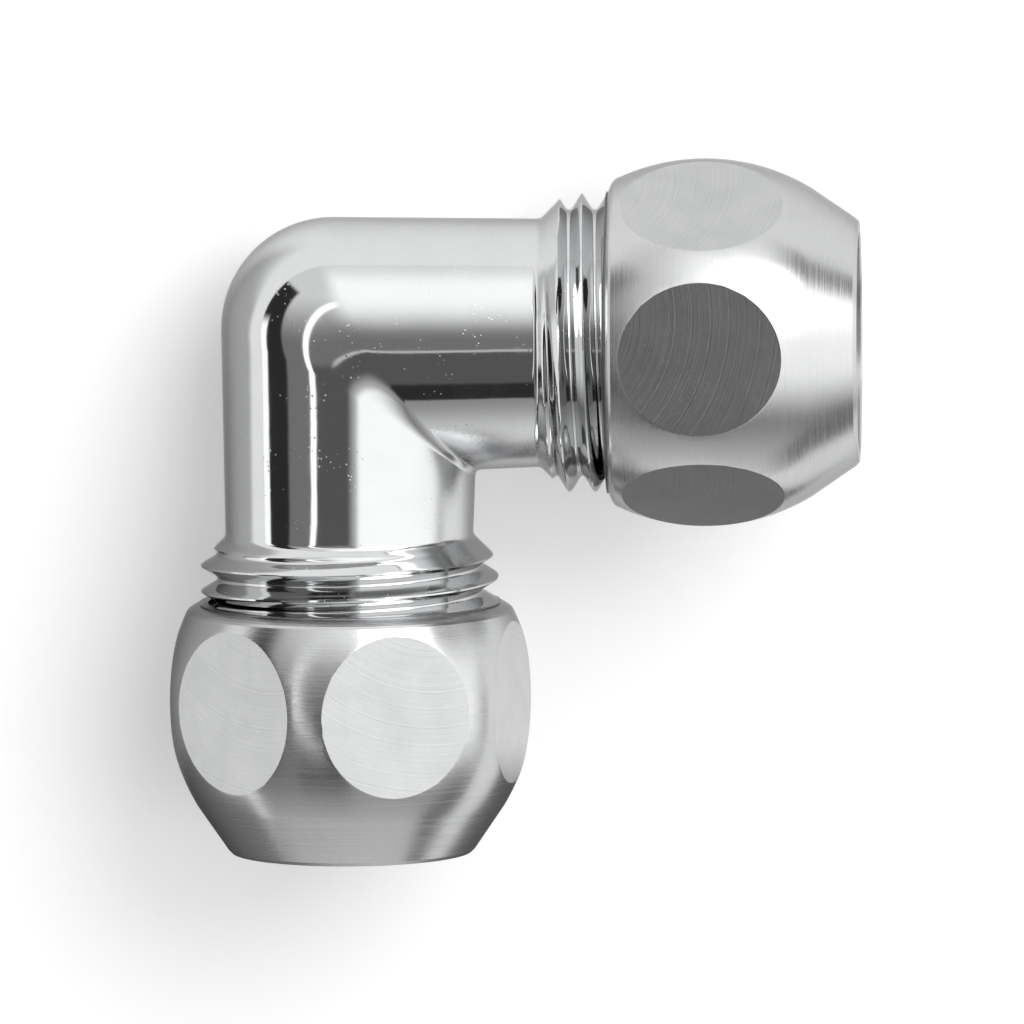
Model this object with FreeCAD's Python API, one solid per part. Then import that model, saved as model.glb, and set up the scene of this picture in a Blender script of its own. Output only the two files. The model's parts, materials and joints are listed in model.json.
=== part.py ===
import FreeCAD, Part
import math
import os

from FreeCAD import Placement, Rotation, Vector

# An angled compression coupling for 15 mm pipe, in millimetres.
# The origin is where the two pipe axes cross. The fitting lies as it comes to rest,
# on both nuts and on the outside of its corner, so each leg rises a little: one
# towards +X, the other towards -Y. Each leg is made about Z, with its height
# measured from the crossing, and is then turned into place.

# Pipe that the coupling takes
pipe_d = 15.0
socket_clearance = 0.05        # between the pipe and the socket or ring, all round
nut_bore_clearance = 0.15      # between the pipe and the nut's mouth, all round

# Parallel pipe thread, size 1/2: 14 turns to the inch, 55 degrees between flanks
thread_d = 20.955              # over the crests
thread_pitch = 25.4 / 14
flank_half_angle = 27.5
depth_per_pitch = 0.640327
crest_per_pitch = 1 / 6        # flat left on each crest
thread_clearance = 0.07        # between the nut's thread and the body's
nut_crest_clearance = 0.18     # between the nut's crests and the body's roots
side_thread_turn = 0.0         # of the thread about each leg's axis
lower_thread_turn = -90.0

# Forged body: two legs with a little draft, mitred inside, rounded outside
leg_root_d = 17.75             # at the corner
leg_end_d = 17.4               # at the foot of the threaded collar
corner_centre = 1.2            # the rounding's centre, outward of each pipe axis
collar_x = 15.3                # where the collar reaches the thread's full diameter
collar_slope = 45.0
collar_blend_r = 1.3
thread_lead = 2.0              # from where the thread is cut to the full collar
body_end_x = 27.0
body_lip = 0.5                 # flat ring left around the mouth
end_chamfer = 1.2              # at the start of the thread, along the axis

# Bores of the body
waterway_d = 13.0
stop_x = 11.0                  # shoulder that the pipe's end meets
drill_overrun = 2.0            # full diameter past the other leg's axis
drill_half_angle = 59.0

# Compression ring: a band with a cone at each end
ring_wall = 1.15
ring_nose = 0.35               # thickness left at the ends
ring_land = 2.6
cone_half_angle = 30.0
cone_clearance = 0.06          # square to the cones

# Union nut: a barrel with milled flats
nut_face_x = 18.2              # its inner end face
nut_length = 17.65
nut_d = 25.75                  # over the barrel
barrel_r = 14.5                # of the barrel's curve along the axis
barrel_crest = 6.85            # from the inner face to the largest diameter
across_flats = 23.4
flat_count = 6
nut_face_d = 19.9
face_bevel = 0.63              # along the axis, from the inner face to the barrel
tail_start = 14.3              # from the inner face to where the barrel becomes a cone
tail_d = 17.4
tail_chamfer = 0.25
entry_chamfer = 1.1            # into the nut's thread
relief_start = 8.9             # from the inner face to the thread relief
relief_depth = 0.06            # below the grooves of the thread
chamber_clearance = 0.2        # around the ring's band
side_nut_turn = 0.0            # of a flat from facing up, about each nut's axis
lower_nut_turn = -18.5

# How steeply each leg rises from the ground that the fitting lies on
side_leg_rise = 8.29
lower_leg_rise = 8.43

# Sizes that follow
socket_r = pipe_d / 2 + socket_clearance
nut_bore_r = pipe_d / 2 + nut_bore_clearance
crest_r = thread_d / 2
root_r = crest_r - depth_per_pitch * thread_pitch
flank_slope = math.tan(math.radians(flank_half_angle))
cone_slope = math.tan(math.radians(cone_half_angle))
mouth_r = root_r - body_lip
cone_gap_r = cone_clearance / math.cos(math.radians(cone_half_angle))
ring_r = socket_r + ring_wall
ring_cone = (ring_wall - ring_nose) / cone_slope
land_start_x = body_end_x + (ring_r - mouth_r + cone_gap_r) / cone_slope
land_end_x = land_start_x + ring_land
chamber_r = ring_r + chamber_clearance
nut_crest_r = root_r + nut_crest_clearance
nut_root_r = crest_r + thread_clearance
thread_start_x = collar_x - thread_lead
reach = 0.1                    # that each cutting shape stands past what it cuts
far = 3 * body_end_x


def turned(outline):
    """Solid of revolution about Z. The outline is (radius, height) points, and
    a pair of points stands for an arc through the first to the second."""
    edges = []
    here = Vector(outline[0][0], 0, outline[0][1])
    for step in outline[1:] + outline[:1]:
        if isinstance(step[0], tuple):
            (mid_r, mid_h), (end_r, end_h) = step
            there = Vector(end_r, 0, end_h)
            edges.append(Part.Arc(here, Vector(mid_r, 0, mid_h), there).toShape())
        else:
            there = Vector(step[0], 0, step[1])
            edges.append(Part.makeLine(here, there))
        here = there
    return Part.Face(Part.Wire(edges)).revolve(Vector(), Vector(0, 0, 1), 360)


def ridge_half(radius):
    """Half the thickness of the body's thread ridge at a radius."""
    return thread_pitch * crest_per_pitch / 2 + (crest_r - radius) * flank_slope


def helical_cut(inner_r, inner_half, outer_r, outer_half, start, end, turn):
    """Right-hand helical cutter of trapezoid section, its middle running from start to end."""
    section = Part.makePolygon([
        Vector(inner_r, 0, -inner_half),
        Vector(outer_r, 0, -outer_half),
        Vector(outer_r, 0, outer_half),
        Vector(inner_r, 0, inner_half),
        Vector(inner_r, 0, -inner_half),
    ])
    helix = Part.Wire(Part.makeLongHelix(thread_pitch, end - start, crest_r, 0).Edges)
    cutter = helix.makePipeShell([section], True, True)
    cutter.Placement = Placement(Vector(0, 0, start), Rotation(Vector(0, 0, 1), turn))
    return cutter


def leg_blank():
    """Outside of one leg, from the corner's rounding to its threaded end."""
    root = leg_root_d / 2
    end = leg_end_d / 2
    slope = math.radians(collar_slope)
    foot = collar_x - (crest_r - end) / math.tan(slope)
    tangent = collar_blend_r * math.tan(slope / 2)
    blend_start = foot - tangent
    blend_mid = (
        end + collar_blend_r * (1 - math.cos(slope / 2)),
        blend_start + collar_blend_r * math.sin(slope / 2),
    )
    blend_end = (end + tangent * math.sin(slope), foot + tangent * math.cos(slope))
    return turned([
        (0, -corner_centre),
        (root, -corner_centre),
        (root, 0),
        (end, blend_start),
        (blend_mid, blend_end),
        (crest_r, collar_x),
        (crest_r, body_end_x - end_chamfer),
        (crest_r - end_chamfer, body_end_x),
        (0, body_end_x),
    ])


def leg_bore():
    """What the drills and the cone cutter take out of one leg."""
    waterway_r = waterway_d / 2
    tip = waterway_r / math.tan(math.radians(drill_half_angle))
    mouth_start = body_end_x - (mouth_r - socket_r) / cone_slope
    return turned([
        (0, -drill_overrun - tip),
        (waterway_r, -drill_overrun),
        (waterway_r, stop_x),
        (socket_r, stop_x),
        (socket_r, mouth_start),
        (mouth_r + reach * cone_slope, body_end_x + reach),
        (0, body_end_x + reach),
    ])


def body_thread(turn):
    """Cutter for the groove of the body's thread, which runs out in the collar's slope."""
    outer_r = crest_r + reach
    half_pitch = thread_pitch / 2
    return helical_cut(
        root_r, half_pitch - ridge_half(root_r),
        outer_r, half_pitch - ridge_half(outer_r),
        thread_start_x, body_end_x + thread_pitch, turn,
    )


def nut_thread(turn):
    """Cutter for the groove of the nut's thread, in mesh with the body's ridge."""
    inner_r = nut_crest_r - reach
    gap = thread_clearance / math.cos(math.radians(flank_half_angle))
    first_ridge = thread_start_x + thread_pitch / 2
    clear_start = nut_face_x - thread_pitch
    turns_before = math.floor((clear_start - first_ridge) / thread_pitch)
    return helical_cut(
        inner_r, ridge_half(inner_r) + gap,
        nut_root_r, ridge_half(nut_root_r) + gap,
        first_ridge + turns_before * thread_pitch,
        nut_face_x + relief_start + thread_pitch / 2, turn,
    )


def nut_outside():
    """Barrel with its bevelled inner end and conical tail."""
    centre_r = nut_d / 2 - barrel_r

    def barrel_at(depth):
        return centre_r + math.sqrt(barrel_r ** 2 - (depth - barrel_crest) ** 2)

    end_x = nut_face_x + nut_length
    tail_r = tail_d / 2
    return turned([
        (0, nut_face_x),
        (nut_face_d / 2, nut_face_x),
        (barrel_at(face_bevel), nut_face_x + face_bevel),
        ((nut_d / 2, nut_face_x + barrel_crest), (barrel_at(tail_start), nut_face_x + tail_start)),
        (tail_r, end_x - tail_chamfer),
        (tail_r - tail_chamfer, end_x),
        (0, end_x),
    ])


def nut_inside():
    """Threaded bore, thread relief, ring chamber, cone and pipe mouth."""
    relief_x = nut_face_x + relief_start
    relief_r = nut_root_r + relief_depth
    cone_start = land_end_x - (chamber_r - ring_r - cone_gap_r) / cone_slope
    cone_end = land_end_x + (ring_r + cone_gap_r - nut_bore_r) / cone_slope
    return turned([
        (0, nut_face_x - reach),
        (nut_crest_r + entry_chamfer + reach, nut_face_x - reach),
        (nut_crest_r, nut_face_x + entry_chamfer),
        (nut_crest_r, relief_x),
        (relief_r, relief_x),
        (relief_r, relief_x + thread_pitch),
        (chamber_r, relief_x + thread_pitch),
        (chamber_r, cone_start),
        (nut_bore_r, cone_end),
        (nut_bore_r, nut_face_x + nut_length + reach),
        (0, nut_face_x + nut_length + reach),
    ])


def nut(place, thread_turn, flat_turn):
    """Union nut of one leg. Its flats count from the way square to both legs."""
    shape = nut_outside().cut(nut_inside()).cut(nut_thread(thread_turn))
    up = place.Rotation.inverted().multVec(Vector(0, 0, 1))
    first_flat = math.degrees(math.atan2(up.y, up.x)) + flat_turn
    for number in range(flat_count):
        block = Part.makeBox(far, far, far, Vector(across_flats / 2, -far / 2, -far / 2))
        block.rotate(Vector(), Vector(0, 0, 1), first_flat + number * 360 / flat_count)
        shape = shape.cut(block)
    return shape


def compression_ring():
    nose_r = socket_r + ring_nose
    return turned([
        (socket_r, land_start_x - ring_cone),
        (nose_r, land_start_x - ring_cone),
        (ring_r, land_start_x),
        (ring_r, land_end_x),
        (nose_r, land_end_x + ring_cone),
        (socket_r, land_end_x + ring_cone),
    ])


def placed(shape, place):
    shape = shape.copy()
    shape.Placement = place.multiply(shape.Placement)
    return shape


def corner_rounding():
    """Outer corner: the part of a leg's section beyond the rounding's centre, swung
    through the quarter turn from one leg to the other."""
    root = leg_root_d / 2
    rise = math.sqrt(root ** 2 - corner_centre ** 2)
    low = Vector(-corner_centre, corner_centre, -rise)
    high = Vector(-corner_centre, corner_centre, rise)
    arc = Part.Arc(low, Vector(-corner_centre, root, 0), high).toShape()
    section = Part.Face(Part.Wire([arc, Part.makeLine(high, low)]))
    return section.revolve(Vector(-corner_centre, corner_centre, 0), Vector(0, 0, 1), 90)


def elbow_body(legs):
    """Forging with both ends machined. The legs meet at the plane x + y = 0."""
    side_half = Part.makeBox(far, far, far, Vector(0, -far / 2, -far / 2))
    side_half.rotate(Vector(), Vector(0, 0, 1), 45)
    lower_half = side_half.copy()
    lower_half.rotate(Vector(), Vector(0, 0, 1), 180)
    shape = corner_rounding()
    for (place, thread_turn), half in zip(legs, (side_half, lower_half)):
        shape = shape.fuse(placed(leg_blank(), place).common(half))
    shape = shape.removeSplitter()
    for place, thread_turn in legs:
        shape = shape.cut(placed(leg_bore(), place))
        shape = shape.cut(placed(body_thread(thread_turn), place))
    return shape


def rest_turn():
    """From legs that lie flat along +X and -Y to legs that rise as they do at rest."""
    side_rise = math.sin(math.radians(side_leg_rise))
    lower_rise = math.sin(math.radians(lower_leg_rise))
    up = Vector(side_rise, -lower_rise, math.sqrt(1 - side_rise ** 2 - lower_rise ** 2))
    return Placement(Vector(), Rotation(up, Vector(0, 0, 1)))


side = Placement(Vector(), Rotation(Vector(0, 1, 0), 90))
lower = Placement(Vector(), Rotation(Vector(1, 0, 0), 90))
rest = rest_turn()

nodes = {
    "elbow_body": elbow_body([(side, side_thread_turn), (lower, lower_thread_turn)]),
    "side_nut": placed(nut(side, side_thread_turn, side_nut_turn), side),
    "lower_nut": placed(nut(lower, lower_thread_turn, lower_nut_turn), lower),
    "side_ring": placed(compression_ring(), side),
    "lower_ring": placed(compression_ring(), lower),
}

os.makedirs("parts", exist_ok=True)
for name, shape in nodes.items():
    solid = placed(shape, rest).Solids[0]
    print(name, len(shape.Solids), solid.isValid(), round(solid.Volume, 2))
    solid.exportStep(os.path.join("parts", name + ".step"))
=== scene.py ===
import json
import math

import bmesh
import bpy
from mathutils import Matrix, Vector


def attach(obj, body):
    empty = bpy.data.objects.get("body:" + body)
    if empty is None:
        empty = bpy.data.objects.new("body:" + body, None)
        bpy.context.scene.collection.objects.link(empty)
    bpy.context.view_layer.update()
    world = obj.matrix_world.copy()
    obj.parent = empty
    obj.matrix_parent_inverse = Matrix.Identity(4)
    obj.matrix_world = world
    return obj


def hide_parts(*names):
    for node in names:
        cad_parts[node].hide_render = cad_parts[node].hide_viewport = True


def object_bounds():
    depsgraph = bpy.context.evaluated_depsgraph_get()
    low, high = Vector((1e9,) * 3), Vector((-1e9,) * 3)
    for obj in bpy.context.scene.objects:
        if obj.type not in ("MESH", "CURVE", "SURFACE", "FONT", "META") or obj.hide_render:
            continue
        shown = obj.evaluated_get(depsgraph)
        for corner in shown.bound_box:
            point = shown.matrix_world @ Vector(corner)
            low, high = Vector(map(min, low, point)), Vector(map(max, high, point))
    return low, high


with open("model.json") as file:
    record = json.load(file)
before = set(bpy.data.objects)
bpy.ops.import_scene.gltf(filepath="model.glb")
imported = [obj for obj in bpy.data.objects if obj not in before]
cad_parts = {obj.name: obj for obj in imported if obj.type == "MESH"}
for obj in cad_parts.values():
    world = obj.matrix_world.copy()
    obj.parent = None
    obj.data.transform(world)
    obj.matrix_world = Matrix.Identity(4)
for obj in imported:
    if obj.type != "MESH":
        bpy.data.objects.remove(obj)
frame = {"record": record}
cad_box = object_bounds()

# The forged elbow: a brass pressing with two equal legs, rounded outside the corner and
# mitred inside it, with threads cut on both collars and both ends drilled. It is polished
# to a mirror and chrome plated outside, and bare brass inside.
millimetre = 0.001
around = 120                   # steps in a full turn
leg_root_r = 8.87              # at the corner
leg_end_r = 8.7                # at the foot of the collar
corner_centre = 1.2            # the outer rounding's centre, outward of each pipe axis
mitre_r = 0.5                  # inner corner, softened by the polishing
mitre_face_r = 2.3             # where the mitre fades out on the elbow's faces
mitre_softness = 0.6
collar_blend_r = 0.6           # from the leg into the collar's slope
collar_slope = math.radians(45)
collar_x = 15.3                # where the collar reaches its full diameter
crest_r = 10.47
root_r = 9.32
root_flat = 0.3
crest_flat = 0.12
thread_pitch = 25.4 / 14
thread_start_x = 13.3
crest_softness = 0.1
root_softness = 0.2
collar_softness = 0.1
lower_thread_turn = math.radians(-90)
body_end_x = 27.0
end_chamfer = 1.2
mouth_r = 8.81
socket_r = 7.55
mouth_cone_x = 24.82
stop_x = 11.0
waterway_r = 6.5
drill_overrun = 2.0
drill_tip = 3.9
mouth_slope = math.radians(30)
cut_overrun = 0.5              # of the drilling past each mouth
straight_steps = 8
blend_steps = 6
bend_steps = 28
thread_points = 16
spare_turns = 2                # of thread, trimmed off at both ends
weld_reach = 0.001
trim_reach = 0.0001

mounts = {mount["name"]: mount for mount in frame["record"]["mounts"]}
side_way = Vector(mounts["side_pipe_socket"]["axis"])
lower_way = Vector(mounts["lower_pipe_socket"]["axis"])
face_way = lower_way.cross(side_way)


def axes(x_way, y_way, z_way):
    """Placement that turns a shape's own axes to these directions."""
    return Matrix((x_way, y_way, z_way)).transposed().to_4x4()


elbow_place = axes(side_way, -lower_way, face_way)
side_place = axes(-face_way, -lower_way, side_way)
lower_place = axes(side_way, face_way, lower_way)


def spun(outline, rise=0.0):
    """A line of (radius, height) points turned once about Z, or screwed up by a rise."""
    shape = bmesh.new()
    points = [shape.verts.new((radius, 0, height)) for radius, height in outline]
    for first, second in zip(points, points[1:]):
        shape.edges.new((first, second))
    bmesh.ops.spin(
        shape, geom=shape.verts[:] + shape.edges[:], cent=(0, 0, 0), axis=(0, 0, 1),
        dvec=(0, 0, rise / around), angle=math.tau, steps=around, use_merge=rise == 0,
    )
    bmesh.ops.remove_doubles(shape, verts=shape.verts, dist=weld_reach)
    return shape


def soft_least(first, second, softness):
    """The smaller of two values, eased where they cross."""
    near = max(softness - abs(first - second), 0) / softness
    return min(first, second) - near * near * softness / 4


def blank_r(distance):
    """Radius of the turned collar before its thread is cut."""
    slope_r = crest_r - (collar_x - distance) / math.tan(collar_slope)
    chamfer_r = crest_r - end_chamfer + (body_end_x - distance)
    return min(slope_r, crest_r, chamfer_r)


def thread_r(distance, angle, turn):
    """Radius of the threaded collar at a distance from the corner and an angle."""
    phase = (distance - thread_start_x) / thread_pitch - (angle - turn) / math.tau
    from_groove = abs(phase - round(phase)) * thread_pitch
    flank = (from_groove - root_flat / 2) / (thread_pitch / 2 - root_flat / 2 - crest_flat / 2)
    flank_r = root_r + (crest_r - root_r) * flank
    rounded_top = soft_least(flank_r, crest_r, crest_softness)
    rounded = -soft_least(-rounded_top, -root_r, root_softness)
    return soft_least(blank_r(distance), rounded, collar_softness)


collar_foot_x = (
    collar_x - (crest_r - leg_end_r) / math.tan(collar_slope)
    - collar_blend_r * math.tan(collar_slope / 2)
)


def leg_station(facing, step):
    """Distance and radius at a step out from the corner, on the line that faces away
    from the corner's inside by this cosine."""
    if step > straight_steps:
        turn = collar_slope * (step - straight_steps) / blend_steps
        swell = collar_blend_r * (1 - math.cos(turn))
        return collar_foot_x + collar_blend_r * math.sin(turn), leg_end_r + swell
    offset = leg_root_r * facing
    start = bend_r(offset) - offset
    share = step / straight_steps
    return (
        start + (collar_foot_x - start) * share,
        leg_root_r + (leg_end_r - leg_root_r) * share,
    )


def bend_r(offset):
    """Radius of the corner for a line of the leg at this offset from its axis."""
    outer = offset - corner_centre
    fading = (1 + offset / leg_root_r) ** 2
    inner = mitre_r + (mitre_face_r - mitre_r) * fading
    return -soft_least(-outer, -inner, mitre_softness)


def elbow_point(station, angle):
    """A point of the elbow's skin, from the side collar round the corner to the lower one."""
    facing = math.cos(angle)
    leg_steps = straight_steps + blend_steps
    if station <= leg_steps:
        distance, radius = leg_station(facing, leg_steps - station)
        return Vector((distance, radius * facing, radius * math.sin(angle)))
    if station >= leg_steps + bend_steps:
        distance, radius = leg_station(facing, station - leg_steps - bend_steps)
        return Vector((-radius * facing, -distance, radius * math.sin(angle)))
    offset = leg_root_r * facing
    radius = bend_r(offset)
    swing = math.pi / 2 * (1 + (station - leg_steps) / bend_steps)
    return Vector((
        radius - offset + radius * math.cos(swing),
        offset - radius + radius * math.sin(swing),
        leg_root_r * math.sin(angle),
    ))


def elbow_skin():
    """The polished outside, from one collar round the corner to the other."""
    stations = 2 * (straight_steps + blend_steps) + bend_steps
    shape = spun([(1, station) for station in range(stations + 1)])
    for vert in shape.verts:
        vert.co = elbow_point(round(vert.co.z), math.atan2(vert.co.y, vert.co.x))
    return shape


def collar_skin(turn):
    """Threaded collar, from the end of the swell to the mouth."""
    foot_x, foot_r = leg_station(1, straight_steps + blend_steps)
    turns = math.ceil((body_end_x - foot_x) / thread_pitch) + spare_turns
    first_x = foot_x - 1.5 * thread_pitch
    outline = [
        (1, first_x + thread_pitch * point / thread_points)
        for point in range(thread_points + 1)
    ]
    one_turn = spun(outline, thread_pitch)
    shape = joined([
        (one_turn.copy(), Matrix.Translation((0, 0, turn_number * thread_pitch)))
        for turn_number in range(turns)
    ])
    bmesh.ops.remove_doubles(shape, verts=shape.verts, dist=weld_reach)
    for vert in shape.verts:
        angle = math.atan2(vert.co.y, vert.co.x)
        radius = thread_r(vert.co.z, angle, turn)
        vert.co.x = radius * math.cos(angle)
        vert.co.y = radius * math.sin(angle)
    step = math.tau / around
    for end_x, end_r, way in (
        (foot_x, foot_r, -1), (body_end_x, crest_r - end_chamfer, 1),
    ):
        cut = bmesh.ops.bisect_plane(
            shape, geom=shape.verts[:] + shape.edges[:] + shape.faces[:], dist=trim_reach,
            plane_co=(0, 0, end_x), plane_no=(0, 0, way), clear_outer=True,
        )
        for vert in cut["geom_cut"]:
            if isinstance(vert, bmesh.types.BMVert):
                angle = round(math.atan2(vert.co.y, vert.co.x) / step) * step
                vert.co = (end_r * math.cos(angle), end_r * math.sin(angle), end_x)
        bmesh.ops.remove_doubles(shape, verts=shape.verts, dist=weld_reach)
    return shape


def bore_shape():
    """What one drill takes out: waterway, pipe socket and cone at the mouth."""
    return spun([
        (0, -drill_overrun - drill_tip),
        (waterway_r, -drill_overrun),
        (waterway_r, stop_x),
        (socket_r, stop_x),
        (socket_r, mouth_cone_x),
        (mouth_r + cut_overrun * math.tan(mouth_slope), body_end_x + cut_overrun),
        (0, body_end_x + cut_overrun),
    ])


def bores():
    """Both drilled bores as one skin, open at the mouths. One is turned by half a step, so
    that no edge of it lies along an edge of the other."""
    drills = []
    half_step = Matrix.Rotation(math.pi / around, 4, "Z")
    for place in (side_place, lower_place @ half_step):
        shape = joined([(bore_shape(), place)])
        bmesh.ops.recalc_face_normals(shape, faces=shape.faces)
        mesh = bpy.data.meshes.new("drill")
        shape.to_mesh(mesh)
        shape.free()
        drill = bpy.data.objects.new("drill", mesh)
        bpy.context.scene.collection.objects.link(drill)
        drills.append(drill)
    crossing = drills[0].modifiers.new("crossing", "BOOLEAN")
    crossing.operation = "UNION"
    crossing.solver = "EXACT"
    crossing.object = drills[1]
    graph = bpy.context.evaluated_depsgraph_get()
    crossed = bpy.data.meshes.new_from_object(drills[0].evaluated_get(graph))
    shape = bmesh.new()
    shape.from_mesh(crossed)
    for drill in drills:
        bpy.data.objects.remove(drill)
    for way in (side_way, lower_way):
        bmesh.ops.bisect_plane(
            shape, geom=shape.verts[:] + shape.edges[:] + shape.faces[:], dist=trim_reach,
            plane_co=way * body_end_x, plane_no=way, clear_outer=True,
        )
    for face in shape.faces:
        face.material_index = 1
    return shape


def joined(parts):
    """One shape from (shape, placement) pairs."""
    whole = bmesh.new()
    for shape, place in parts:
        bmesh.ops.transform(shape, matrix=place, verts=shape.verts)
        part = bpy.data.meshes.new("part")
        shape.to_mesh(part)
        shape.free()
        whole.from_mesh(part)
        bpy.data.meshes.remove(part)
    return whole


def finished(name, shape, materials, sharp_angle):
    """An object from a shape in millimetres, smooth except over sharp edges."""
    bmesh.ops.recalc_face_normals(shape, faces=shape.faces)
    bmesh.ops.scale(shape, vec=(millimetre,) * 3, verts=shape.verts)
    mesh = bpy.data.meshes.new(name)
    shape.to_mesh(mesh)
    shape.free()
    for material in materials:
        mesh.materials.append(material)
    mesh.shade_smooth()
    mesh.set_sharp_from_angle(angle=math.radians(sharp_angle))
    piece = bpy.data.objects.new(name, mesh)
    bpy.context.scene.collection.objects.link(piece)
    return piece


def feed(socket, value):
    """Links a socket to another node's output, or sets it to a plain value."""
    if isinstance(value, bpy.types.NodeSocket):
        socket.id_data.links.new(value, socket)
    else:
        socket.default_value = value


def add(tree, kind, **settings):
    """A node with its options and, by name, what its inputs are fed with."""
    made = tree.nodes.new(kind)
    for name, value in settings.items():
        if hasattr(made, name):
            setattr(made, name, value)
        else:
            feed(made.inputs[name.replace("_", " ")], value)
    return made


def number(operation, *values):
    """A math node's result, from other nodes' outputs and plain numbers."""
    tree = next(value.id_data for value in values if isinstance(value, bpy.types.NodeSocket))
    made = add(tree, "ShaderNodeMath", operation=operation)
    for place, value in enumerate(values):
        feed(made.inputs[place], value)
    return made.outputs["Value"]


def ramp(value, start, end, low=0.0, high=1.0):
    """Eases from low to high as the value goes from start to end."""
    ends = (low, high) if start < end else (high, low)
    made = add(
        value.id_data, "ShaderNodeMapRange", interpolation_type="SMOOTHSTEP", Value=value,
        From_Min=min(start, end), From_Max=max(start, end), To_Min=ends[0], To_Max=ends[1],
    )
    return made.outputs["Result"]


def spread(value, start, end, low=0.0, high=1.0):
    """Goes straight from low to high as the value goes from start to end."""
    made = add(
        value.id_data, "ShaderNodeMapRange", Value=value,
        From_Min=start, From_Max=end, To_Min=low, To_Max=high,
    )
    return made.outputs["Result"]


def between(first, second, share):
    """A colour from first to second, as the share goes from 0 to 1."""
    made = add(share.id_data, "ShaderNodeMix", data_type="RGBA")
    for place, value in ((0, share), (6, first), (7, second)):
        feed(made.inputs[place], value)
    return made.outputs[2]


def bumped(height, depth, strength=1.0, under=None):
    """The normal of a surface raised by a height, over another bumped one if given."""
    made = add(
        height.id_data, "ShaderNodeBump", Height=height, Strength=strength, Distance=depth,
    )
    if under:
        feed(made.inputs["Normal"], under)
    return made.outputs["Normal"]


def metal_finish(name):
    """A bare metal material, its nodes, its shader and the object's own coordinates."""
    material = bpy.data.materials.new(name)
    material.use_nodes = True
    tree = material.node_tree
    shader = tree.nodes["Principled BSDF"]
    shader.inputs["Metallic"].default_value = 1.0
    spot = add(tree, "ShaderNodeTexCoord").outputs["Object"]
    return material, tree, shader, spot


def handling_marks_group():
    """Cloudy film, fine random scratches and pin-sized specks on plated metal."""
    group = bpy.data.node_groups.new("handling_marks", "ShaderNodeTree")
    for name, way, kind in (
        ("Vector", "INPUT", "NodeSocketVector"),
        ("Film Scale", "INPUT", "NodeSocketFloat"),
        ("Film", "OUTPUT", "NodeSocketFloat"),
        ("Scratches", "OUTPUT", "NodeSocketFloat"),
        ("Specks", "OUTPUT", "NodeSocketFloat"),
    ):
        group.interface.new_socket(name, in_out=way, socket_type=kind)
    given = group.nodes.new("NodeGroupInput")
    out = group.nodes.new("NodeGroupOutput")
    spot = given.outputs["Vector"]
    film = add(
        group, "ShaderNodeTexNoise", Vector=spot, Scale=given.outputs["Film Scale"],
        Detail=4.0, Roughness=0.6,
    )
    feed(out.inputs["Film"], film.outputs["Fac"])
    warp = add(group, "ShaderNodeTexNoise", Vector=spot, Scale=160.0, Detail=1.0)
    bent = add(group, "ShaderNodeMix", data_type="RGBA", blend_type="LINEAR_LIGHT")
    for place, value in ((0, 0.002), (6, spot), (7, warp.outputs["Color"])):
        feed(bent.inputs[place], value)
    long_way = add(
        group, "ShaderNodeMapping", Vector=bent.outputs[2],
        Rotation=(0.5, 0.9, 0.4), Scale=(1, 1, 0.04),
    )
    lines = add(
        group, "ShaderNodeTexNoise", Vector=long_way.outputs["Vector"], Scale=9000.0, Detail=2.0,
    )
    feed(out.inputs["Scratches"], spread(lines.outputs["Fac"], 0.66, 0.78))
    cells = add(group, "ShaderNodeTexVoronoi", Vector=spot, Scale=2400.0)
    small = spread(cells.outputs["Distance"], 0.19, 0.09)
    some = add(group, "ShaderNodeTexNoise", Vector=spot, Scale=420.0, Detail=1.0)
    few = spread(some.outputs["Fac"], 0.5, 0.62)
    feed(out.inputs["Specks"], number("MULTIPLY", small, few))
    return group


handling_marks = handling_marks_group()
chrome_edge = (0.5, 0.5, 0.5, 1)      # chromium is darker than silver where it is seen aslant


def polished_chrome():
    """Mirror-bright plating on a faintly wavy forging, dull in the unbuffed corner."""
    scratch_dulling = 0.12
    speck_dulling = 0.4
    corner_dulling = 0.16
    dull_as_far_as = 0.0075
    bright_from = 0.0100
    wave_depth = 0.000012
    speck_depth = 0.000004
    material, tree, shader, spot = metal_finish("polished_chrome")
    shader.inputs["Specular Tint"].default_value = chrome_edge
    marks = add(tree, "ShaderNodeGroup", node_tree=handling_marks, Vector=spot, Film_Scale=300.0)
    film = marks.outputs["Film"]
    tint = between((0.585, 0.59, 0.595, 1), (0.655, 0.66, 0.665, 1), film)
    feed(shader.inputs["Base Color"], tint)
    clean = spread(film, 0.3, 0.7, 0.045, 0.085)
    scratched = number("MULTIPLY_ADD", marks.outputs["Scratches"], scratch_dulling, clean)
    specked = number("MULTIPLY_ADD", marks.outputs["Specks"], speck_dulling, scratched)
    from_corner = add(tree, "ShaderNodeVectorMath", operation="DISTANCE")
    feed(from_corner.inputs[0], spot)
    feed(from_corner.inputs[1], (side_way + lower_way) * leg_root_r * millimetre)
    unbuffed = ramp(
        from_corner.outputs["Value"], dull_as_far_as, bright_from, corner_dulling, 0.0,
    )
    feed(shader.inputs["Roughness"], number("ADD", specked, unbuffed))
    waves = add(tree, "ShaderNodeTexNoise", Vector=spot, Scale=260.0, Detail=2.0)
    wavy = bumped(waves.outputs["Fac"], wave_depth)
    feed(shader.inputs["Normal"], bumped(marks.outputs["Specks"], speck_depth, under=wavy))
    return material


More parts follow.
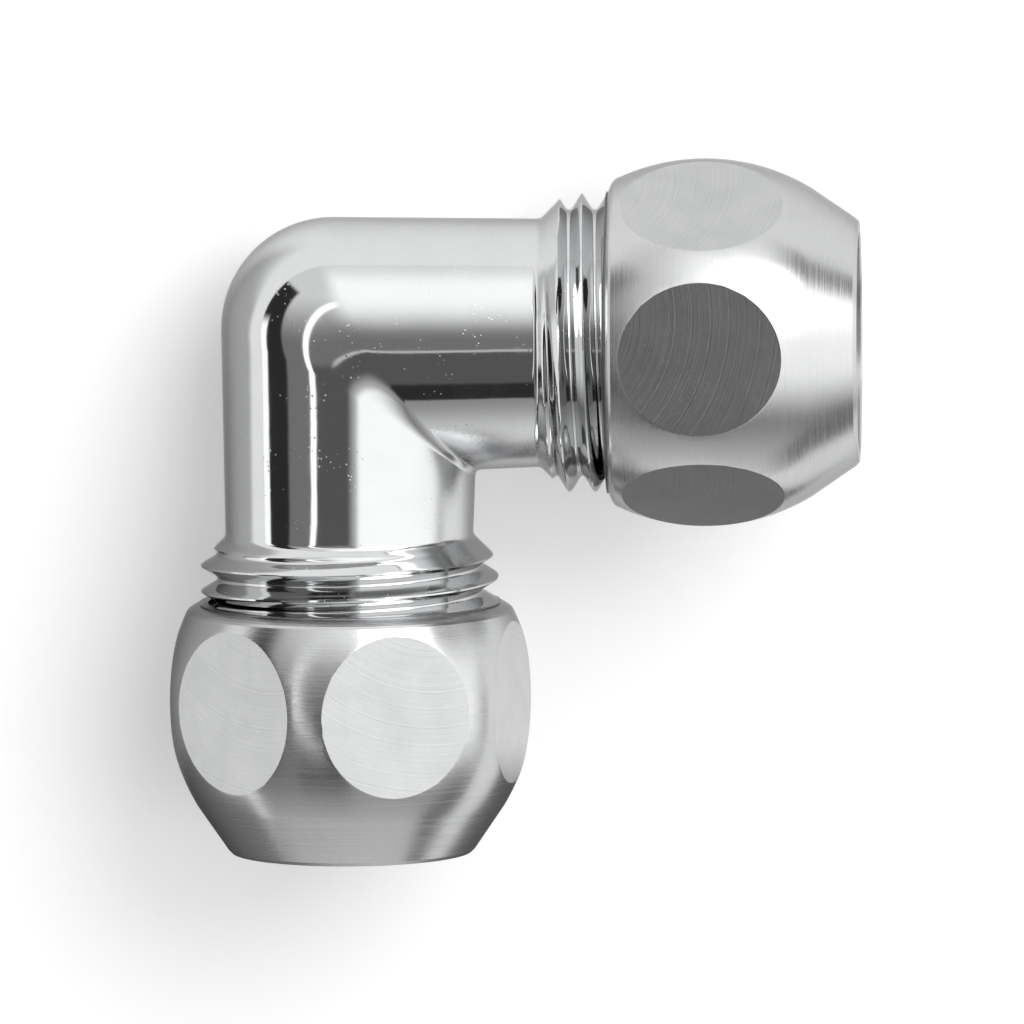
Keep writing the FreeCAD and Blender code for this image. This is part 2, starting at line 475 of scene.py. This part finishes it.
def bare_brass():
    """Cut brass, a little tarnished, with the marks of the drill."""
    cut_depth = 0.00001
    material, tree, shader, spot = metal_finish("bare_brass")
    marks = add(tree, "ShaderNodeGroup", node_tree=handling_marks, Vector=spot, Film_Scale=500.0)
    film = marks.outputs["Film"]
    feed(shader.inputs["Base Color"], between((0.62, 0.43, 0.19, 1), (0.84, 0.66, 0.36, 1), film))
    feed(shader.inputs["Roughness"], spread(film, 0.3, 0.7, 0.22, 0.36))
    feed(shader.inputs["Normal"], bumped(marks.outputs["Scratches"], cut_depth, strength=0.5))
    return material


chrome = polished_chrome()
brass = bare_brass()

elbow_shape = joined([
    (elbow_skin(), elbow_place),
    (collar_skin(0), side_place),
    (collar_skin(lower_thread_turn), lower_place),
    (bores(), Matrix()),
])
bmesh.ops.remove_doubles(elbow_shape, verts=elbow_shape.verts, dist=2 * weld_reach)
bmesh.ops.dissolve_degenerate(elbow_shape, edges=elbow_shape.edges, dist=weld_reach / 2)
for way in (side_way, lower_way):
    mouth = [
        edge for edge in elbow_shape.edges
        if edge.is_boundary and edge.verts[0].co.dot(way) > body_end_x - cut_overrun
    ]
    bmesh.ops.bridge_loops(elbow_shape, edges=mouth)
elbow = finished("forged_elbow", elbow_shape, [chrome, brass], sharp_angle=40)
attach(elbow, "elbow")
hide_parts("elbow_body")

# The two compression rings: turned brass bands with a cone at each end, one in each
# nut. The nut squeezes its ring onto the pipe.
ring_start_x = 25.56
ring_land_x = 26.95
ring_land_end_x = 29.49
ring_end_x = 30.88
ring_r = 8.69
ring_nose_r = 7.9
ring_edge = 0.06


def compression_ring():
    """The ring's closed outline, with its edges broken, turned once round."""
    return spun([
        (socket_r, ring_start_x + ring_edge),
        (socket_r + ring_edge, ring_start_x),
        (ring_nose_r - ring_edge, ring_start_x),
        (ring_nose_r, ring_start_x + ring_edge),
        (ring_r - ring_edge, ring_land_x),
        (ring_r, ring_land_x + ring_edge),
        (ring_r, ring_land_end_x - ring_edge),
        (ring_r - ring_edge, ring_land_end_x),
        (ring_nose_r, ring_end_x - ring_edge),
        (ring_nose_r - ring_edge, ring_end_x),
        (socket_r + ring_edge, ring_end_x),
        (socket_r, ring_end_x - ring_edge),
        (socket_r, ring_start_x + ring_edge),
    ])


for side, place in (("side", side_place), ("lower", lower_place)):
    ring = finished(
        side + "_olive", joined([(compression_ring(), place)]), [brass], sharp_angle=24,
    )
    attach(ring, side + "_ring_body")
    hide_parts(side + "_ring")

# The two union nuts: brass barrels turned to a round belly, satin chrome plated, with six
# round flats milled across them for the spanner. Each is threaded onto the elbow's collar.
nut_face_x = 18.2
nut_end_x = 35.84
nut_face_r = 9.95
belly_r = 12.87
belly_arc_r = 14.5
belly_x = nut_face_x + 6.85
shoulder = 0.63                # along the axis, from the inner face to the belly
shoulder_from = 15             # degrees, where the shoulder's arc starts
shoulder_to = 75
shoulder_steps = 5
tail_start = 14.3
tail_r = 8.7
tail_chamfer = 0.25
flat_count = 6
flat_distance = 11.7
flat_trim_reach = 0.02
rim_width = 0.06
rim_depth = 0.02
belly_steps = 26
nut_bore_r = 7.65
nut_bore_edge = 0.1
nut_thread_r = 9.5
entry_chamfer = 1.1            # into the nut's thread
nut_relief_r = 10.6
chamber_r = 8.9
relief_x = nut_face_x + 8.9
chamber_x = 28.9
ring_cone_x = 29.3
bore_cone_x = 31.45
lower_nut_turn = math.radians(-18.5)


def belly_at(distance):
    """Radius of the nut's round belly at a distance from the corner."""
    sag = belly_arc_r - math.sqrt(belly_arc_r ** 2 - (distance - belly_x) ** 2)
    return belly_r - sag


def nut_outline():
    """The nut's section: shoulder, belly and tail outside, and its bores inside."""
    first_x = nut_face_x + shoulder
    last_x = nut_face_x + tail_start
    belly = [
        first_x + (last_x - first_x) * step / belly_steps for step in range(belly_steps + 1)
    ]
    shoulder_width = belly_at(first_x) - nut_face_r
    first, last = math.radians(shoulder_from), math.radians(shoulder_to)
    rounded_shoulder = []
    for step in range(shoulder_steps + 1):
        turn = math.radians(shoulder_from + (shoulder_to - shoulder_from) * step / shoulder_steps)
        along = (math.cos(first) - math.cos(turn)) / (math.cos(first) - math.cos(last))
        out = (math.sin(turn) - math.sin(first)) / (math.sin(last) - math.sin(first))
        rounded_shoulder.append(
            (nut_face_r + shoulder_width * out, nut_face_x + shoulder * along)
        )
    return (
        [(nut_thread_r + entry_chamfer, nut_face_x)] + rounded_shoulder
        + [(belly_at(distance), distance) for distance in belly[1:]]
        + [
            (tail_r, nut_end_x - tail_chamfer),
            (tail_r - tail_chamfer, nut_end_x),
            (nut_bore_r + nut_bore_edge, nut_end_x),
            (nut_bore_r, nut_end_x - nut_bore_edge),
            (nut_bore_r, bore_cone_x),
            (chamber_r, ring_cone_x),
            (chamber_r, chamber_x),
            (nut_relief_r, chamber_x),
            (nut_relief_r, relief_x),
            (nut_thread_r, relief_x),
            (nut_thread_r, nut_face_x + entry_chamfer),
            (nut_thread_r + entry_chamfer, nut_face_x),
        ]
    )


def union_nut(first_flat):
    """The nut in its own place, its flats marked and its surface laid out in millimetres."""
    shape = spun(nut_outline())
    bmesh.ops.recalc_face_normals(shape, faces=shape.faces)
    layout = shape.loops.layers.uv.new("surface")
    for face in shape.faces:
        middle = face.calc_center_median()
        near = math.atan2(middle.y, middle.x)
        for loop in face.loops:
            spot = loop.vert.co
            angle = near + math.remainder(math.atan2(spot.y, spot.x) - near, math.tau)
            loop[layout].uv = (angle * belly_r, spot.z)
        inward = face.normal.dot(Vector((middle.x, middle.y, 0))) < 0
        if inward and nut_face_x + entry_chamfer < middle.z < bore_cone_x:
            face.material_index = 2
    for flat_number in range(flat_count):
        turn = first_flat + flat_number * math.tau / flat_count
        way = Vector((math.cos(turn), math.sin(turn), 0))
        cut = bmesh.ops.bisect_plane(
            shape, geom=shape.verts[:] + shape.edges[:] + shape.faces[:],
            dist=flat_trim_reach,
            plane_co=way * (flat_distance - rim_depth), plane_no=way, clear_outer=True,
        )
        rim = [item for item in cut["geom_cut"] if isinstance(item, bmesh.types.BMEdge)]
        flat = bmesh.ops.holes_fill(shape, edges=rim, sides=0)["faces"]
        bmesh.ops.inset_individual(
            shape, faces=flat, thickness=rim_width, depth=rim_depth, use_even_offset=True,
        )
        across = Vector((0, 0, 1)).cross(way)
        for face in flat:
            face.material_index = 1
            for loop in face.loops:
                loop[layout].uv = (loop.vert.co.dot(across), loop.vert.co.z - belly_x)
    return shape


def turned_satin():
    """Fine turning lines round the belly, which drag each reflection out along the nut."""
    groove_depth = 0.0000035
    scratch_depth = 0.000004
    material, tree, shader, spot = metal_finish("satin_chrome")
    shader.inputs["Anisotropic"].default_value = 0.7
    shader.inputs["Anisotropic Rotation"].default_value = 0.25
    shader.inputs["Specular Tint"].default_value = chrome_edge
    round_the_nut = add(tree, "ShaderNodeTangent", direction_type="UV_MAP", uv_map="surface")
    feed(shader.inputs["Tangent"], round_the_nut.outputs["Tangent"])
    marks = add(tree, "ShaderNodeGroup", node_tree=handling_marks, Vector=spot, Film_Scale=240.0)
    tint = between((0.52, 0.524, 0.528, 1), (0.60, 0.603, 0.607, 1), marks.outputs["Film"])
    feed(shader.inputs["Base Color"], tint)
    laid_out = add(tree, "ShaderNodeUVMap", uv_map="surface").outputs["UV"]
    place = add(tree, "ShaderNodeSeparateXYZ", Vector=laid_out)
    turn = number("DIVIDE", place.outputs["X"], belly_r)
    seamless = add(
        tree, "ShaderNodeCombineXYZ",
        X=number("COSINE", turn), Y=number("SINE", turn), Z=place.outputs["Y"],
    )
    squeezed = add(
        tree, "ShaderNodeMapping", Vector=seamless.outputs["Vector"], Scale=(0.26, 0.26, 14.0),
    )
    lines = add(
        tree, "ShaderNodeTexNoise", Vector=squeezed.outputs["Vector"],
        Scale=1.0, Detail=3.0, Roughness=0.65,
    )
    feed(shader.inputs["Roughness"], spread(lines.outputs["Fac"], 0.3, 0.7, 0.19, 0.30))
    grooves = bumped(lines.outputs["Fac"], groove_depth)
    scored = bumped(marks.outputs["Scratches"], scratch_depth, strength=0.5, under=grooves)
    feed(shader.inputs["Normal"], scored)
    return material


def milled_satin():
    """Matt flats, with the wide arcs that a face mill leaves."""
    cutter_middle = (-3.0, -12.0, 0)      # of the arcs, aside of each flat's own middle
    wander = 0.1
    arc_contrast = 1.3
    arc_depth = 0.0000036
    scratch_depth = 0.000003
    material, tree, shader, spot = metal_finish("milled_flats")
    marks = add(tree, "ShaderNodeGroup", node_tree=handling_marks, Vector=spot, Film_Scale=350.0)
    laid_out = add(tree, "ShaderNodeUVMap", uv_map="surface").outputs["UV"]
    reach = add(tree, "ShaderNodeVectorMath", operation="DISTANCE")
    feed(reach.inputs[0], laid_out)
    feed(reach.inputs[1], cutter_middle)
    chatter = add(tree, "ShaderNodeTexNoise", Vector=laid_out, Scale=1.6, Detail=3.0)
    wandering = number("MULTIPLY_ADD", chatter.outputs["Fac"], wander, reach.outputs["Value"])
    passes = add(
        tree, "ShaderNodeTexNoise", noise_dimensions="1D", W=wandering,
        Scale=7.0, Detail=3.0, Roughness=0.55,
    )
    broken = add(tree, "ShaderNodeTexNoise", Vector=laid_out, Scale=1.3, Detail=2.0)
    patches = spread(broken.outputs["Fac"], 0.30, 0.60, 0.2, 1.0)
    arcs = number("MULTIPLY", number("SUBTRACT", passes.outputs["Fac"], 0.5), patches)
    shade = number("MULTIPLY_ADD", arcs, arc_contrast, marks.outputs["Film"])
    tint = between((0.41, 0.414, 0.418, 1), (0.55, 0.553, 0.557, 1), shade)
    feed(shader.inputs["Base Color"], tint)
    feed(shader.inputs["Roughness"], spread(arcs, -0.2, 0.2, 0.18, 0.22))
    raised = bumped(arcs, arc_depth)
    scored = bumped(marks.outputs["Scratches"], scratch_depth, strength=0.5, under=raised)
    feed(shader.inputs["Normal"], scored)
    return material


satin = turned_satin()
milled = milled_satin()
for side, place, first_flat in (
    ("side", side_place, math.pi), ("lower", lower_place, math.pi / 2 + lower_nut_turn),
):
    nut = finished(
        side + "_union_nut", joined([(union_nut(first_flat), place)]), [satin, milled, brass],
        sharp_angle=9,
    )
    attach(nut, side + "_nut_body")
    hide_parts(side + "_nut")

# The bench and the studio: a white bench under the fitting, and a dome round it with a big
# soft light to the right and above, dark felt to the left and below, and a thin slit of
# light. The camera looks almost square down on the plane of the two legs.
camera_turn = math.radians(2.65)
camera_rise = math.radians(6.48)
camera_roll = math.radians(-0.44)
pixels_per_mm = 14.28
crossing_px = (347.7, 343.2)   # where the pipe axes cross, in the photograph
picture_px = 1024
camera_distance = 1.25

turned_right = Vector((math.cos(camera_turn), 0, -math.sin(camera_turn)))
back_way = Vector((
    math.sin(camera_turn) * math.cos(camera_rise),
    math.sin(camera_rise),
    math.cos(camera_turn) * math.cos(camera_rise),
))
turned_up = back_way.cross(turned_right)
right_way = turned_right * math.cos(camera_roll) + turned_up * math.sin(camera_roll)
up_way = turned_up * math.cos(camera_roll) - turned_right * math.sin(camera_roll)
right_way, up_way, back_way = (
    elbow_place.to_3x3() @ way for way in (right_way, up_way, back_way)
)

lens = bpy.data.cameras.new("camera")
lens.sensor_width = 36.0
lens.lens = pixels_per_mm / millimetre * camera_distance * lens.sensor_width / picture_px
camera = bpy.data.objects.new("camera", lens)
aim = (
    right_way * (picture_px / 2 - crossing_px[0]) - up_way * (picture_px / 2 - crossing_px[1])
) * millimetre / pixels_per_mm
camera.matrix_world = axes(right_way, up_way, back_way)
camera.location = aim + back_way * camera_distance
bpy.context.scene.collection.objects.link(camera)
bpy.context.scene.camera = camera


def dot(vector, way):
    """How far a vector reaches along a direction."""
    made = add(vector.id_data, "ShaderNodeVectorMath", operation="DOT_PRODUCT")
    feed(made.inputs[0], vector)
    feed(made.inputs[1], way)
    return made.outputs["Value"]


def meeting(*masks):
    """Where all of these masks are."""
    whole = masks[0]
    for mask in masks[1:]:
        whole = number("MULTIPLY", whole, mask)
    return whole


def layer(under, over, mask):
    """One brightness laid over another by a mask."""
    made = add(mask.id_data, "ShaderNodeMix", data_type="FLOAT")
    for place, value in ((0, mask), (2, under), (3, over)):
        feed(made.inputs[place], value)
    return made.outputs[0]


# The bench is evenly white to the camera. Where the metal mirrors it, painted shade darkens it
# below the fitting and at its left.
floor_size = 6.0
floor_white = 0.77
floor_glow = 0.28              # lifts the white where it is looked at, under the shadow too
painted_shade_below_share = 0.2               # of the white, where the metal mirrors the floor below: painted shade that only reflections show
painted_shade_left_share = 0.5                # of the white, where the metal mirrors the floor at its left: painted shade that only reflections show
floor_shape = bmesh.new()
bmesh.ops.create_grid(floor_shape, x_segments=1, y_segments=1, size=floor_size / 2)
bmesh.ops.translate(floor_shape, vec=(0, 0, cad_box[0].z), verts=floor_shape.verts)
floor_mesh = bpy.data.meshes.new("floor")
floor_shape.to_mesh(floor_mesh)
floor_shape.free()
floor = bpy.data.objects.new("floor", floor_mesh)
bpy.context.scene.collection.objects.link(floor)
paper = bpy.data.materials.new("white_floor")
paper.use_nodes = True
floor_mesh.materials.append(paper)
sheet = paper.node_tree.nodes["Principled BSDF"]
sheet.inputs["Roughness"].default_value = 0.9
sheet.inputs["Specular IOR Level"].default_value = 0.0
sheet.inputs["Emission Color"].default_value = (1, 1, 1, 1)
rays = add(paper.node_tree, "ShaderNodeLightPath")
is_mirrored = rays.outputs["Is Glossy Ray"]
bench = add(paper.node_tree, "ShaderNodeTexCoord").outputs["Object"]
bench_x = dot(bench, (1, 0, 0))
bench_y = dot(bench, (0, 1, 0))
right_of_slant = dot(bench, (1, -1.3, 0))
# Painted shade on the floor below the fitting, seen only by glossy rays: it darkens what the
# metal mirrors there.
painted_shade_below = meeting(
    ramp(bench_y, -0.032, -0.038), ramp(bench_x, 0.056, 0.044), ramp(right_of_slant, 0.0, 0.03),
)
# Painted shade on the floor at the left of the fitting, seen only by glossy rays.
painted_shade_left = meeting(
    ramp(bench_y, 0.035, 0.010), ramp(bench_x, -0.008, -0.016), ramp(bench_x, -0.075, -0.045),
)
# The floor's white and glow are lowered for glossy rays only, by the painted shade below and at
# the left.
share = layer(1.0, layer(layer(1.0, painted_shade_left_share, painted_shade_left), painted_shade_below_share, painted_shade_below), is_mirrored)
feed(sheet.inputs["Base Color"], number("MULTIPLY", share, floor_white))
seen = number("MAXIMUM", rays.outputs["Is Camera Ray"], is_mirrored)
seen_through = number("MAXIMUM", seen, rays.outputs["Is Transmission Ray"])
lift = number("MULTIPLY", number("MULTIPLY", share, floor_glow), seen_through)
feed(sheet.inputs["Emission Strength"], lift)

# A direction is placed by the slope of the mirror that would send it to the camera: across
# is -1 to 1 from the left edge of a polished ball to its right edge, and over is from its
# lower edge to its upper one. Each light or felt has soft edges, at the places given here.
world = bpy.data.worlds.new("studio")
bpy.context.scene.world = world
world.use_nodes = True
sky = add(world.node_tree, "ShaderNodeTexCoord").outputs["Generated"]
halfway = add(world.node_tree, "ShaderNodeVectorMath", operation="ADD")
feed(halfway.inputs[0], sky)
feed(halfway.inputs[1], back_way)
unit = add(world.node_tree, "ShaderNodeVectorMath", operation="NORMALIZE")
feed(unit.inputs[0], halfway.outputs["Vector"])
across = dot(unit.outputs["Vector"], right_way)
over = dot(unit.outputs["Vector"], up_way)
height = dot(sky, (0, 0, 1))
from_middle = number(
    "SQRT", number("ADD", number("MULTIPLY", across, across), number("MULTIPLY", over, over)),
)

softbox = 1.52
softbox_top = 1.05
slit_light = 1.9
strip_light = 1.6
edge_light = 0.75
felt = 0.035
worn_felt = 0.13
end_dark = 0.12
wall_pale = 0.95
wall_dim = 0.24
wall_below = 0.38
horizon = 1.0

light = layer(
    ramp(over, 0.0, 0.36, wall_dim, wall_pale),
    ramp(over, -0.445, -0.75, wall_below, wall_pale),
    ramp(over, -0.44, -0.455),
)
felt_below = meeting(
    ramp(over, -0.05, -0.085), ramp(over, -0.455, -0.44),
    ramp(across, -0.30, -0.25), ramp(across, 0.06, 0.02),
)
panel = layer(ramp(over, -0.34, -0.31, felt, worn_felt), edge_light, ramp(across, -0.02, 0.07))
light = layer(light, panel, felt_below)
panel_edge = meeting(
    ramp(over, -0.055, -0.063), ramp(over, -0.080, -0.072),
    ramp(across, -0.14, -0.10), ramp(across, 0.06, 0.02),
)
light = layer(light, edge_light, panel_edge)
right_box = meeting(
    ramp(across, 0.02, 0.10), ramp(across, 0.76, 0.66), ramp(over, -0.48, -0.14),
)
top_box = meeting(ramp(over, 0.06, 0.38), ramp(across, -0.20, -0.05))
box = number("MAXIMUM", right_box, top_box)
light = layer(light, ramp(over, 0.44, 0.62, softbox, softbox_top), box)
slit = meeting(
    ramp(from_middle, 0.275, 0.29), ramp(from_middle, 0.33, 0.315),
    ramp(across, -0.08, -0.16), ramp(over, -0.35, -0.2),
)
light = layer(light, slit_light, slit)
above_slant = number("MULTIPLY_ADD", across, 1.1, over)
felt_left = meeting(
    ramp(from_middle, 0.475, 0.50), ramp(above_slant, 0.0, -0.06),
    ramp(over, -0.36, -0.22), ramp(across, -0.2, -0.25),
)
light = layer(light, felt, felt_left)
left_strip = meeting(
    ramp(across, -0.4, -0.5), ramp(over, 0.2, 0.1), ramp(height, 0.14, 0.11),
)
light = layer(light, strip_light, left_strip)
end_shade = meeting(
    ramp(across, 0.30, 0.42), ramp(height, 0.34, 0.26),
    number("MAXIMUM", ramp(over, 0.22, 0.32), ramp(over, -0.30, -0.40)),
)
light = layer(light, end_dark, end_shade)
light = layer(light, horizon, ramp(height, 0.012, 0.004))
feed(world.node_tree.nodes["Background"].inputs["Color"], light)

key = bpy.data.lights.new("key", "SUN")
key.energy = 1.5
key.angle = math.radians(44)
key_lamp = bpy.data.objects.new("key", key)
key_mirror = right_way * 0.26 + up_way * 0.24 + back_way * 0.935
key_way = 2 * back_way.dot(key_mirror) * key_mirror - back_way
key_lamp.matrix_world = key_way.to_track_quat("Z", "Y").to_matrix().to_4x4()
bpy.context.scene.collection.objects.link(key_lamp)

bpy.context.scene.view_settings.view_transform = "Standard"
